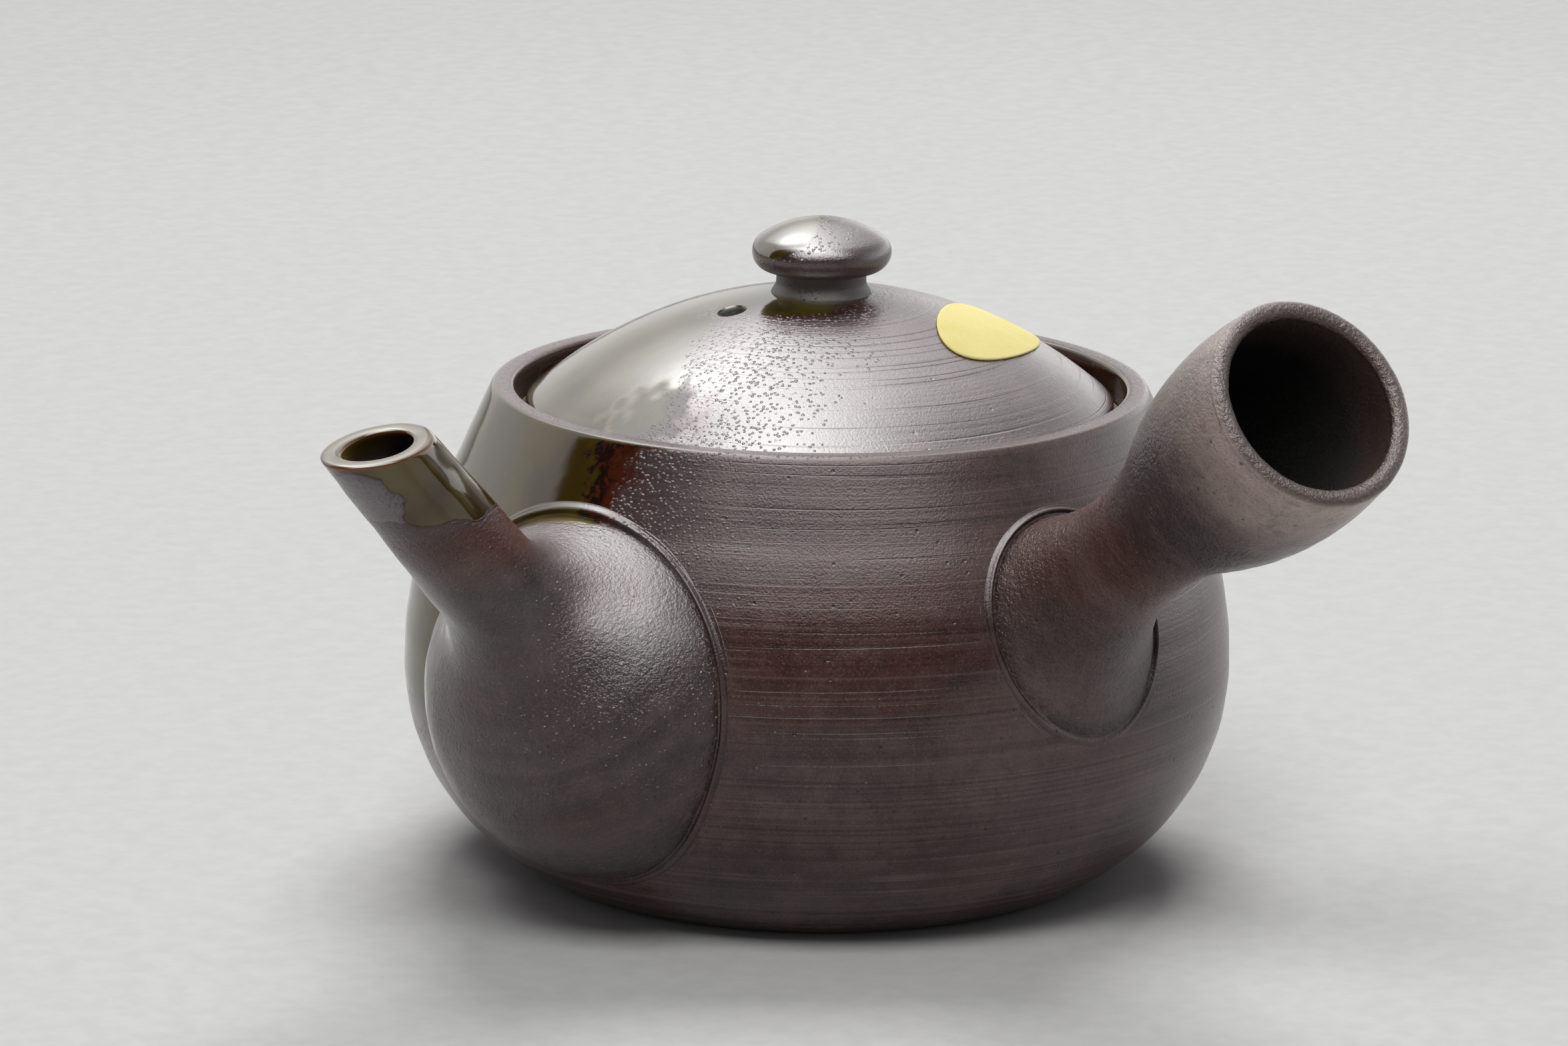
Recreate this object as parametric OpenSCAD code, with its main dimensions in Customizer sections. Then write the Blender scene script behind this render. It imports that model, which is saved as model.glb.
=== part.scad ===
// Side-handled kyusu teapot: a thrown stoneware pot with a luted spout and handle, and a lift-off lid.
// Millimetres. The origin is the middle of the foot, +Z is up and the spout points along +X.

/* [Body] */
// Radius of the pot at its widest, the belly
belly_radius = 56; // [50:0.5:62]
// Height of the belly above the table
belly_height = 29; // [26:0.5:32]
// Radius of the flat foot
foot_radius = 36.5; // [33:0.5:40]
// Distance of the rim's outer edge in from the belly
rim_inset = 11.9; // [10:0.1:14]
// Height of the rim above the table
rim_height = 66.6; // [63:0.2:72]
// Radius of the shoulder's curve between the belly and the straight cone
shoulder_arc = 54.5; // [46:0.5:56]
// Thickness of the thrown wall
wall = 3.2; // [2.4:0.1:4]
// Thickness of the floor
floor_thickness = 4.2; // [3:0.1:6]

/* [Rim] */
// Width of the flat lip
lip_width = 2.9; // [2.2:0.1:3.6]
// Depth from the lip down to the ledge that carries the lid
gallery_depth = 4.6; // [3.8:0.1:6]
// Width of the ledge
ledge_width = 4.4; // [3.4:0.1:5.4]
// Thickness of the ledge at its inner edge
ledge_thickness = 2.4; // [1.8:0.1:3.2]

/* [Spout] */
// Radius of the spout's bulb
bulb_radius = 25.1; // [23:0.1:27]
// Distance of the bulb's centre in from the belly
bulb_inset = 13.1; // [11:0.1:15]
// Height of the bulb's centre
bulb_height = 32.4; // [30:0.1:35]
// Drop of the tube's axis below the bulb's centre
tube_drop = 5.6; // [3:0.1:7]
// Rise of the tube, in degrees
tube_rise = 44.5; // [38:0.5:50]
// Length of the tube's axis from under the bulb's centre to the mouth
tube_length = 66.9; // [58:0.1:75]
// Outer radius of the tube at the mouth
mouth_radius = 6.7; // [6:0.1:8]
// Outer radius of the tube at the bulb's centre
tube_root_radius = 8.6; // [7.5:0.1:10]
// Radius of the hollow curve where the tube leaves the bulb
tube_fillet = 7; // [4:0.5:9]
// Tilt of the mouth's cut towards the spout's tip, in degrees
mouth_tilt = 10.7; // [0:0.5:20]
// Wall of the tube
tube_wall = 2.5; // [1.8:0.1:3]
// Wall of the bulb
bulb_wall = 3; // [2.4:0.1:4]

/* [Strainer] */
// Outer radius of the strainer's dome
strainer_radius = 19; // [16.5:0.1:20.5]
// Distance of the dome's centre in from the belly
strainer_inset = 8; // [6:0.5:12]
// Gap between the edge of the hole in the pot's wall and the inside of the dome round it
hole_gap = 1.2; // [0.8:0.1:4]
// Thickness of the strainer
strainer_wall = 1.8; // [1.2:0.1:2.4]
// Radius of each strainer hole
strainer_hole_radius = 0.8; // [0.5:0.05:1]
// Rings of holes round the middle one
strainer_rings = 5; // [3:1:6]
// Holes that each ring has more than the ring inside it
ring_step = 6; // [4:1:6]
// Angle between rings of holes, in degrees
strainer_pitch = 13; // [11:0.5:13]

/* [Handle] */
// Turn of the handle from the spout, in degrees
handle_turn = 70.8; // [60:0.1:90]
// Rise of the handle, in degrees
handle_rise = 34.9; // [28:0.1:40]
// Distance that the handle's axis passes beside the pot's axis
handle_offset = 6.2; // [0:0.1:8]
// Height at which the handle's axis passes the pot's axis
handle_axis_height = 10.5; // [8:0.1:14]
// Distance along the axis from the belly's radius to the waist
waist_out = 26.7; // [23:0.1:30]
// Radius of the waist
waist_radius = 8.2; // [7:0.1:10]
// Radius of the hollow curve of the waist
waist_arc = 46; // [42:0.5:52]
// Distance along the axis from the waist to the swelling near the open end
waist_to_swell = 36.8; // [33:0.1:41]
// Radius of the swelling
swell_radius = 14.8; // [13:0.1:16]
// Distance along the axis from the swelling to the open end
swell_to_end = 9.4; // [5:0.1:14]
// Wall of the handle
handle_wall = 2.2; // [1.6:0.1:2.6]

/* [Luting] */
// Height of the clay bead pressed round the foot of the spout and of the handle
bead = 1.3; // [0.8:0.1:2]
// Length of the handle's foot that its bead spans
lute_reach = 16; // [14:0.5:20]

/* [Lid] */
// Gap between the lid's edge and the rim
lid_gap = 1.6; // [0.6:0.1:2.2]
// Height of the lid's edge above the ledge
lid_edge = 2.6; // [1.8:0.1:3.6]
// Rise of the dome above the lid's edge
dome_rise = 15; // [11:0.2:17]
// Thickness of the dome
dome_wall = 2.8; // [2.2:0.1:3.6]
// Gap between the lid's flange and the ledge
flange_gap = 0.8; // [0.4:0.1:1.2]
// Thickness of the flange
flange_wall = 2.6; // [2:0.1:3.4]
// Depth of the flange below the ledge
flange_depth = 6; // [4:0.2:9]
// Radius of the steam hole
steam_hole_radius = 1.75; // [1:0.05:2.4]
// Distance of the steam hole from the lid's axis
steam_hole_out = 13.8; // [12:0.1:20]
// Direction of the steam hole from the spout, in degrees
steam_hole_turn = -21; // [-180:1:180]

/* [Knob] */
// Radius of the knob
knob_radius = 9.5; // [8:0.1:11]
// Radius of the knob's rounded edge
knob_edge = 2.5; // [1.8:0.1:3.2]
// Height from the knob's edge to its crown
knob_crown = 4.6; // [3.8:0.1:5.4]
// Height from the dome's top to the knob's edge
knob_lift = 5.15; // [4:0.05:8]
// Radius of the knob's neck
neck_radius = 6.1; // [5:0.1:6.6]
// Radius of the neck's foot on the dome
neck_foot_radius = 6.8; // [6.7:0.1:8]
// Height of the neck's foot above the dome's top
neck_foot_height = 0.8; // [0.4:0.1:1.4]

/* [Label] */
// Half length of the oval label
label_half_length = 15.5; // [12:0.5:17]
// Half width of the oval label
label_half_width = 6.7; // [5:0.1:8]
// Thickness of the label
label_thickness = 0.2; // [0.1:0.05:0.4]
// Direction of the label from the spout, in degrees
label_turn = 125; // [0:1:360]
// Distance of the label's centre from the lid's axis
label_out = 22.9; // [21:0.1:26]
// Lean of the label's long side from the lid's turning lines, in degrees
label_lean = -11.5; // [-20:0.5:20]

/* [Hidden] */
$fn = 128;
// Overrun of cutting shapes past the faces that they cut
over = 1;
// Straight sides that stand for the label's oval edge
label_sides = 48;
// Flats round each strainer hole
strainer_hole_sides = 24;

// Pot outline: a belly arc from the foot, a shoulder arc, and a straight cone that is tangent to it
rim_radius = belly_radius - rim_inset;
belly_arc = (pow(belly_radius - foot_radius, 2) + pow(belly_height, 2)) / (2 * (belly_radius - foot_radius));
belly_centre = belly_radius - belly_arc;
shoulder_centre = belly_radius - shoulder_arc;
rim_reach = norm([rim_radius - shoulder_centre, rim_height - belly_height]);
cone_angle = atan2(rim_height - belly_height, rim_radius - shoulder_centre) - acos(shoulder_arc / rim_reach);

// Gallery: the lid's edge sits on the ledge inside the lip, and its flange hangs in the ledge's bore
gallery_radius = rim_radius - lip_width;
ledge_height = rim_height - gallery_depth;
ledge_bore = gallery_radius - ledge_width;
lid_radius = gallery_radius - lid_gap;
flange_radius = ledge_bore - flange_gap;
flange_low = ledge_height - flange_depth;

// Dome of the lid: a sphere through the lid's edge
lid_edge_height = ledge_height + lid_edge;
dome_radius = (pow(lid_radius, 2) + pow(dome_rise, 2)) / (2 * dome_rise);
dome_top = lid_edge_height + dome_rise;
dome_centre = dome_top - dome_radius;

// Knob: an edge of round section and a crown that is tangent to it
knob_height = dome_top + knob_lift;
edge_centre = knob_radius - knob_edge;
crown_step = knob_crown - knob_edge;
crown_radius = (pow(edge_centre, 2) + pow(knob_crown, 2) - pow(knob_edge, 2)) / (2 * crown_step);
crown_centre = knob_height + knob_crown - crown_radius;
crown_tangent = crown_radius / (crown_radius - knob_edge);

// Handle: the waist's hollow arc runs into the swelling's arc at a common tangent
waist_at = belly_radius + waist_out;
swell_at = waist_at + waist_to_swell;
handle_end = swell_at + swell_to_end;
swell_step = swell_radius - waist_radius;
arc_reach = (pow(swell_step, 2) + pow(swell_at - waist_at, 2)) / (2 * swell_step);
swell_arc = arc_reach - waist_arc;
arc_join = waist_at + (swell_at - waist_at) * waist_arc / arc_reach;
handle_start = belly_radius - wall;
lute_start = handle_start + over;

// Spout and strainer: both are luted to the belly's wall, so their centres lie at fixed depths in it
bulb_out = belly_radius - bulb_inset;
strainer_out = belly_radius - strainer_inset;
spout_hole_radius = strainer_radius - strainer_wall - hole_gap;

// Tube: the foot of its hollow curve meets the bulb on the side where the bulb is nearest to the axis
tube_taper = (tube_root_radius - mouth_radius) / tube_length;
fillet_foot = tube_root_radius + tube_fillet;
fillet_start = tube_drop * sin(tube_rise)
    + sqrt(pow(bulb_radius, 2) - pow(fillet_foot + tube_drop * cos(tube_rise), 2));
fillet_end_radius = tube_root_radius - tube_taper * (fillet_start + tube_fillet);

label_polar = asin(label_out / dome_radius);

clay = [0.36, 0.31, 0.31];
dark_clay = [0.30, 0.25, 0.25];
slip = [0.40, 0.35, 0.34];
paper = [0.95, 0.88, 0.60];

// Half of the pot's section, grown outwards by a distance and cut between two heights
module pot_section(grow, low, high) {
    belly = belly_arc + grow;
    shoulder = shoulder_arc + grow;
    join_radius = shoulder_centre + shoulder * cos(cone_angle);
    join_height = belly_height + shoulder * sin(cone_angle);
    intersection() {
        translate([0, low])
            square([belly_radius + grow + over, high - low]);
        union() {
            intersection() {
                translate([belly_centre, belly_height])
                    circle(belly);
                translate([0, low])
                    square([belly_radius + grow + over, belly_height + over - low]);
            }
            translate([0, low])
                square([belly_centre, belly_height + over - low]);
            intersection() {
                translate([shoulder_centre, belly_height])
                    circle(shoulder);
                translate([0, belly_height])
                    square([belly_radius + grow + over, join_height + over - belly_height]);
            }
            polygon([
                [0, join_height],
                [join_radius, join_height],
                [join_radius - (high - join_height) * tan(cone_angle), high],
                [0, high]
            ]);
        }
    }
}

// The pot's outer form as one solid, grown outwards by a distance
module pot_form(grow = 0) {
    rotate_extrude()
        pot_section(grow, 0, rim_height);
}

// The space inside the pot below the ledge
module pot_inside() {
    rotate_extrude()
        pot_section(-wall, floor_thickness, ledge_height - ledge_thickness);
}

// The spout's bulb, grown outwards by a distance, turned so that its seam lies inside the pot
module bulb(grow = 0) {
    translate([bulb_out, 0, bulb_height])
        rotate([0, 0, 180])
            sphere(bulb_radius + grow);
}

// Moves children so that +Z runs along the tube from under the bulb's centre
module along_tube() {
    translate([bulb_out, 0, bulb_height - tube_drop])
        rotate([0, 90 - tube_rise, 0])
            children();
}

// Moves children so that +Z runs along the handle from beside the pot's axis, and +X level to its side
module along_handle() {
    rotate([0, 0, handle_turn])
        translate([0, handle_offset, handle_axis_height])
            rotate([0, 90 - handle_rise, 0])
                rotate([0, 0, 90])
                    children();
}

// Radius of the handle at a distance along its axis, on the waist's hollow curve
function waist_radius_at(along) =
    waist_radius + waist_arc - sqrt(pow(waist_arc, 2) - pow(along - waist_at, 2));

// Half of the section of the handle's waist about its own axis, grown outwards by a distance
module waist_section(grow, start, end) {
    hollow_centre = waist_radius + waist_arc;
    difference() {
        translate([0, start])
            square([hollow_centre, end - start]);
        translate([hollow_centre, waist_at])
            circle(waist_arc - grow);
    }
}

// Half of the section of the whole handle, grown outwards by a distance
module handle_section(grow, end) {
    waist_section(grow, handle_start, arc_join);
    intersection() {
        translate([swell_radius - swell_arc, swell_at])
            circle(swell_arc + grow);
        translate([0, arc_join - over])
            square([swell_radius + grow + over, end + over - arc_join]);
    }
}

// The spout's form as one solid: bulb, tube, and the hollow curve between them
module spout_form() {
    bulb();
    along_tube() {
        cylinder(h = tube_length + mouth_radius, r1 = tube_root_radius,
            r2 = mouth_radius - tube_taper * mouth_radius);
        rotate_extrude()
            difference() {
                translate([0, fillet_start])
                    square([fillet_end_radius + tube_fillet, tube_fillet]);
                translate([fillet_end_radius + tube_fillet, fillet_start + tube_fillet])
                    circle(tube_fillet);
            }
    }
}

// A rectangle of a section, from the axis out to a radius and from a height to past the top
module square_from(low, radius, high) {
    translate([0, low])
        square([radius, high - low + over]);
}

module body() {
    color(clay)
        difference() {
            rotate_extrude()
                difference() {
                    pot_section(0, 0, rim_height);
                    pot_section(-wall, floor_thickness, ledge_height - ledge_thickness);
                    square_from(ledge_height - ledge_thickness - over, ledge_bore, rim_height);
                    square_from(ledge_height, gallery_radius, rim_height);
                }
            translate([strainer_out - strainer_radius, 0, bulb_height])
                rotate([0, 90, 0])
                    cylinder(h = belly_radius, r = spout_hole_radius);
        }
}

module spout() {
    color(clay)
        difference() {
            spout_form();
            bulb(-bulb_wall);
            along_tube()
                cylinder(h = tube_length + mouth_radius + over, r1 = tube_root_radius - tube_wall,
                    r2 = mouth_radius - tube_wall);
            pot_form();
            along_tube()
                translate([0, 0, tube_length])
                    rotate([0, tube_rise - 90 + mouth_tilt, 0])
                        translate([0, 0, tube_length / 2])
                            cube(tube_length, center = true);
        }
}

module strainer() {
    color(clay)
        intersection() {
            pot_inside();
            translate([strainer_out, 0, bulb_height])
                difference() {
                    sphere(strainer_radius);
                    sphere(strainer_radius - strainer_wall);
                    for (ring = [0:strainer_rings], step = [0:max(0, ring_step * ring - 1)])
                        rotate([step * 360 / max(1, ring_step * ring), 0, 0])
                            rotate([0, -90 + ring * strainer_pitch, 0])
                                translate([0, 0, strainer_radius - strainer_wall - over])
                                    cylinder(h = strainer_wall + 2 * over, r = strainer_hole_radius,
                                        $fn = strainer_hole_sides);
                }
        }
}

module spout_lute() {
    color(slip)
        difference() {
            intersection() {
                bulb(bead);
                pot_form(bead);
            }
            bulb();
            pot_form();
        }
}

module handle() {
    color(dark_clay)
        difference() {
            along_handle()
                rotate_extrude()
                    difference() {
                        handle_section(0, handle_end);
                        handle_section(-handle_wall, handle_end + over);
                    }
            pot_form();
        }
}

module handle_lute() {
    $fn = 256;
    color(slip)
        difference() {
            intersection() {
                pot_form(bead);
                along_handle()
                    translate([0, 0, lute_start])
                        cylinder(h = lute_reach, r1 = waist_radius_at(lute_start) + bead,
                            r2 = waist_radius_at(lute_start + lute_reach) + bead);
            }
            pot_form();
            along_handle()
                rotate_extrude()
                    waist_section(0, handle_start, waist_at);
        }
}

module lid() {
    color(clay)
        difference() {
            rotate_extrude()
                difference() {
                    union() {
                        intersection() {
                            translate([0, dome_centre])
                                circle(dome_radius);
                            square_from(ledge_height, lid_radius, dome_top);
                        }
                        translate([0, flange_low])
                            square([flange_radius, flange_depth + over]);
                    }
                    intersection() {
                        translate([0, dome_centre])
                            circle(dome_radius - dome_wall);
                        square_from(flange_low - over, flange_radius - flange_wall, dome_top);
                    }
                }
            rotate([0, 0, steam_hole_turn])
                translate([steam_hole_out, 0, ledge_height])
                    cylinder(h = dome_top, r = steam_hole_radius);
        }
}

module knob() {
    tangent_radius = edge_centre * crown_tangent;
    tangent_height = crown_centre + (knob_height - crown_centre) * crown_tangent;
    color(clay)
        difference() {
            rotate_extrude()
                union() {
                    translate([edge_centre, knob_height])
                        circle(knob_edge);
                    intersection() {
                        translate([0, crown_centre])
                            circle(crown_radius);
                        square_from(knob_height, tangent_radius, knob_height + crown_radius);
                    }
                    translate([0, knob_height - knob_edge])
                        square([edge_centre, knob_edge]);
                    square_from(ledge_height, neck_radius, knob_height - knob_edge);
                    polygon([
                        [0, dome_top - neck_foot_radius],
                        [neck_foot_radius, dome_top - neck_foot_radius],
                        [neck_foot_radius, dome_top],
                        [neck_radius, dome_top + neck_foot_height],
                        [0, dome_top + neck_foot_height]
                    ]);
                }
            translate([0, 0, dome_centre])
                sphere(dome_radius);
            translate([0, 0, ledge_height - over])
                cylinder(h = dome_top - ledge_height - dome_wall, r = lid_radius);
        }
}

module label() {
    color(paper)
        translate([0, 0, dome_centre])
            intersection() {
                difference() {
                    sphere(dome_radius + label_thickness);
                    sphere(dome_radius);
                }
                rotate([0, 0, label_turn])
                    rotate([0, label_polar, 0])
                        rotate([0, 0, label_lean])
                            linear_extrude(dome_radius + dome_rise)
                                polygon([
                                    for (side = [1:label_sides])
                                        [
                                            label_half_width * sin(side * 360 / label_sides),
                                            label_half_length * cos(side * 360 / label_sides)
                                        ]
                                ]);
            }
}

body();
spout();
strainer();
spout_lute();
handle();
handle_lute();
lid();
knob();
label();
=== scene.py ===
import math

import bpy
import numpy as np
from mathutils import Matrix, Vector


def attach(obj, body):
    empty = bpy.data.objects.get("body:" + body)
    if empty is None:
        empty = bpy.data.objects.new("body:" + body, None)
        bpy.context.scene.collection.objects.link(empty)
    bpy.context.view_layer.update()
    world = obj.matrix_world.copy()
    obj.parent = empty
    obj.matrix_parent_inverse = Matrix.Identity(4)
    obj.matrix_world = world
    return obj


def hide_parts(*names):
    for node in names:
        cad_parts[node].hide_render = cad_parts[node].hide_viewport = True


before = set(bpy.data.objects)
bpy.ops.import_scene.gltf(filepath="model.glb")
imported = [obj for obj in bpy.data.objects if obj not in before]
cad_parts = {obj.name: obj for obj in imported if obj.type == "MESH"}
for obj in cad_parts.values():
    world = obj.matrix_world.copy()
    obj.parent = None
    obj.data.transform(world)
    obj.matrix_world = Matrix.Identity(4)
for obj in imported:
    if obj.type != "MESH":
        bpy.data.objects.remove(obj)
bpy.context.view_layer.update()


# The table and the light. The pot stands on a sheet of pale matt paper under two soft lamps. A tent hangs
# round it that only its gloss shows: dark on the camera's side and white behind, with a bright panel over
# each. Turns are degrees to the camera's right, rises degrees above the table, and lengths metres.
camera_turn = 38.5
camera_back = 1.2
camera_up = 0.33505
camera_yaw = 0.0038674
camera_dip = 0.2354624
camera_roll = 0.0107024
focal_pixels = 13687.28
photo_width = 2350
sensor_width = 36
lamp_reach = 1.3
lamp_radiance = 7.0
paper_half = 6.0
tent_reach = 1.8
tent_low = -4
tent_high = 89.5
tent_columns = 361
tent_rows = 94
tent_gloom = 0.02
left_rises = (-4, 10, 30, 88)
left_glows = (1.10, 1.60, 1.75, 1.75)
right_rises = (-4, 10, 30, 50, 70, 88)
right_glows = (1.6, 2.0, 0.8, 0.5, 2.6, 2.0)
back_panel_glow = 2.4
back_panel_peak = 198
back_panel_peak_width = 24
front_panel_glow = 7.0

scene = bpy.context.scene
scene.view_settings.view_transform = "Standard"
lens = bpy.data.cameras.new("camera")
lens.sensor_fit = "HORIZONTAL"
lens.sensor_width = sensor_width
lens.lens = sensor_width * focal_pixels / photo_width
lens.clip_end = 50
camera = bpy.data.objects.new("camera", lens)
scene.collection.objects.link(camera)
facing = math.radians(camera_turn + 90)
stand = Matrix.Rotation(facing, 4, "Z") @ Vector((0, -camera_back, camera_up))
swing = Matrix.Rotation(facing + camera_yaw, 4, "Z")
tip = Matrix.Rotation(math.pi / 2 - camera_dip, 4, "X")
roll = Matrix.Rotation(camera_roll, 4, "Z")
camera.matrix_world = Matrix.Translation(stand) @ swing @ tip @ roll
scene.camera = camera


def seen_from_pot(turn, rise, reach):
    """Point at a reach from the pot's middle, turned to the camera's right and raised, in degrees."""
    azimuth = np.radians(camera_turn + np.asarray(turn, float))
    lift = np.radians(np.asarray(rise, float))
    level = np.cos(lift)
    return np.stack([level * np.cos(azimuth), level * np.sin(azimuth), np.sin(lift)], axis=-1) * reach


def soft_lamp(name, turn, rise, width, height):
    """A rectangular lamp of even radiance that faces the pot."""
    light = bpy.data.lights.new(name, "AREA")
    light.shape = "RECTANGLE"
    light.size = width
    light.size_y = height
    light.energy = lamp_radiance * math.pi * width * height
    lamp = bpy.data.objects.new(name, light)
    scene.collection.objects.link(lamp)
    away = Vector(seen_from_pot(turn, rise, lamp_reach))
    lamp.matrix_world = Matrix.Translation(away) @ away.to_track_quat("Z", "Y").to_matrix().to_4x4()
    lamp.visible_camera = False
    lamp.visible_glossy = False


soft_lamp("lamp_front", turn=-14, rise=53, width=0.60, height=0.52)
soft_lamp("lamp_back", turn=172, rise=62, width=0.80, height=0.62)


def feed(node, sockets):
    """Sets or links the sockets of a node, given by name or number."""
    for name, value in sockets.items():
        if isinstance(value, Shade):
            value.tree.links.new(value.socket, node.inputs[name])
        else:
            node.inputs[name].default_value = value


class Shade:
    """A socket of one node tree. Sums, differences and products of Shades add Math nodes to the tree."""

    def __init__(self, tree, socket=None):
        self.tree = tree
        self.socket = socket

    def node(self, kind, settings=None, sockets=None, out=0):
        """Adds a node of a kind, makes its settings, then sets or links its sockets by name or number."""
        node = self.tree.nodes.new(kind)
        for name, value in (settings or {}).items():
            setattr(node, name, value)
        feed(node, sockets or {})
        return Shade(self.tree, node.outputs[out])

    def math(self, operation, *values):
        return self.node("ShaderNodeMath", {"operation": operation}, dict(enumerate(values)))

    def __add__(self, other):
        return self.math("ADD", self, other)

    __radd__ = __add__

    def __sub__(self, other):
        return self.math("SUBTRACT", self, other)

    def __rsub__(self, other):
        return self.math("SUBTRACT", other, self)

    def __mul__(self, other):
        return self.math("MULTIPLY", self, other)

    __rmul__ = __mul__

    def __abs__(self):
        return self.math("ABSOLUTE", self)

    def root(self):
        return self.math("SQRT", self)

    def larger(self, other):
        return self.math("MAXIMUM", self, other)

    def metres(self):
        """The position on the object."""
        return self.node("ShaderNodeTexCoord", out=3)

    def stored(self, name):
        """A number stored at the mesh's points."""
        return self.node("ShaderNodeAttribute", {"attribute_name": name}, out=2)

    def parts(self):
        """The three numbers of a vector."""
        outputs = self.node("ShaderNodeSeparateXYZ", {}, {0: self}).socket.node.outputs
        return [Shade(self.tree, output) for output in outputs]

    def join(self, second, third):
        """The vector of this number and two more."""
        return self.node("ShaderNodeCombineXYZ", {}, {0: self, 1: second, 2: third})

    def fade(self, low, high):
        """0 at low, 1 at high, flat beyond them, and an even S-shaped step between."""
        sockets = {"Value": self, "From Min": low, "From Max": high}
        return self.node("ShaderNodeMapRange", {"interpolation_type": "SMOOTHSTEP"}, sockets)

    def tint(self, first, second):
        """The first colour where this value is 0, the second where it is 1."""
        return self.node("ShaderNodeMix", {"data_type": "RGBA"}, {0: self, 6: first, 7: second}, 2)

    def noise(self, size, detail=2.0, rough=0.5):
        """Cloudy noise about 0.5 whose patches have the given size, over this position."""
        sockets = {"Vector": self, "Scale": 1 / size, "Detail": detail, "Roughness": rough}
        return self.node("ShaderNodeTexNoise", {}, sockets)

    def cells(self, size):
        """Scattered spots, one to a cell of the given size: the distance to the nearest, as a share of the
        cell, and two numbers from 0 to 1 drawn for it."""
        sockets = {"Vector": self, "Scale": 1 / size}
        spots = self.node("ShaderNodeTexVoronoi", {}, sockets).socket.node.outputs
        draw = Shade(self.tree, spots["Color"])
        drawn = self.node("ShaderNodeSeparateColor", {}, {0: draw}).socket.node.outputs
        return [Shade(self.tree, output) for output in (spots["Distance"], drawn[0], drawn[1])]


def tone(red, green, blue):
    """Linear colour of a display colour given in 0 to 255."""
    display = np.array([red, green, blue]) / 255
    linear = np.where(display < 0.04045, display / 12.92, ((display + 0.055) / 1.055) ** 2.4)
    return (*linear.tolist(), 1.0)


def surface(name):
    """A new material, its Principled node, and a Shade to hang its pattern on."""
    material = bpy.data.materials.new(name)
    material.use_nodes = True
    return material, material.node_tree.nodes["Principled BSDF"], Shade(material.node_tree)


def store(mesh, name, values):
    """Stores one number at each point of a mesh under a name."""
    layer = mesh.attributes.new(name, "FLOAT", "POINT")
    layer.data.foreach_set("value", np.asarray(values, np.float32).ravel())


def eased(value, low, high):
    """0 at low, 1 at high, flat beyond them, and an even S-shaped step between."""
    share = np.clip((value - low) / (high - low), 0, 1)
    return share * share * (3 - 2 * share)


def bell(value, middle, width):
    """1 at the middle, falling off on both sides as the exponential of minus the square, over a width."""
    return np.exp(-((value - middle) / width) ** 2)


def lamp_glow(turn, rise, lamp_turn, lamp_rise, peak, spread):
    """Glow of a round lamp: its peak, times the exponential of minus its distance over a spread. The
    distance is 1 less the cosine of the angle from it."""
    apart = 1 - seen_from_pot(turn, rise, 1.0) @ seen_from_pot(lamp_turn, lamp_rise, 1.0)
    return peak * np.exp(-apart / spread)


def tent_glow(turn, rise):
    """Brightness of the tent by direction. A white sweep stands behind the pot, with a sharp edge on the
    left and a soft one on the right, and follows straight steps of the rise. A wide panel hangs over it, with
    a bell of more light near the back, and another panel begins above the dark front. There is a lamp
    overhead and a window behind, both to the left."""
    left = eased(-turn, 93, 97) * np.interp(rise, left_rises, left_glows)
    left = left * (1 - 0.25 * eased(-turn, 122, 145))
    right = eased(turn, 45, 105) * np.interp(rise, right_rises, right_glows)
    sweep = left + (right - left) * eased(turn % 360, 185, 170)
    from_front = np.abs((turn + 183) % 360 - 180)
    panel = 1 - 0.2 * eased(180 - turn, 5, 40) * (turn > 0)
    panel = panel + 0.9 * bell(turn % 360, back_panel_peak, back_panel_peak_width)
    panel = panel * eased(from_front, 126, 148)
    behind = back_panel_glow * eased(rise, 22, 56) * eased(rise, 88, 80) * panel
    before = front_panel_glow * eased(rise, 33, 40) * eased(rise, 86, 76) * eased(np.abs(turn), 62, 42)
    overhead = lamp_glow(turn, rise, lamp_turn=-75, lamp_rise=79, peak=13.0, spread=0.040)
    window = lamp_glow(turn, rise, lamp_turn=-146, lamp_rise=57, peak=9.0, spread=0.012)
    return tent_gloom + sweep + behind + before + overhead + window


world = bpy.data.worlds.new("room")
scene.world = world
world.use_nodes = True
path = Shade(world.node_tree).node("ShaderNodeLightPath").socket.node.outputs
plain_rays = ("Is Camera Ray", "Is Glossy Ray", "Is Transmission Ray")
camera_ray, glossy_ray, clear_ray = (Shade(world.node_tree, path[name]) for name in plain_rays)
sky = camera_ray.larger(glossy_ray).larger(clear_ray).tint((0.15, 0.15, 0.16, 1), (0.95, 0.95, 0.94, 1))
feed(world.node_tree.nodes["Background"], {"Color": sky})

paper_mesh = bpy.data.meshes.new("paper_floor")
corners = np.array([(-1, -1, 0), (1, -1, 0), (1, 1, 0), (-1, 1, 0)]) * paper_half
paper_mesh.from_pydata(corners.tolist(), [], [(0, 1, 2, 3)])
paper_floor = bpy.data.objects.new("paper_floor", paper_mesh)
scene.collection.objects.link(paper_floor)
paper_look, paper_node, shade = surface("matt_paper")
fibre = shade.metres().noise(0.004, 4.0, 0.6)
paper_tint = fibre.fade(0.3, 0.7).tint(tone(213, 213, 211), tone(219, 219, 217))
feed(paper_node, {"Base Color": paper_tint, "Roughness": 0.9, "Specular IOR Level": 0.0})
paper_mesh.materials.append(paper_look)

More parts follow.
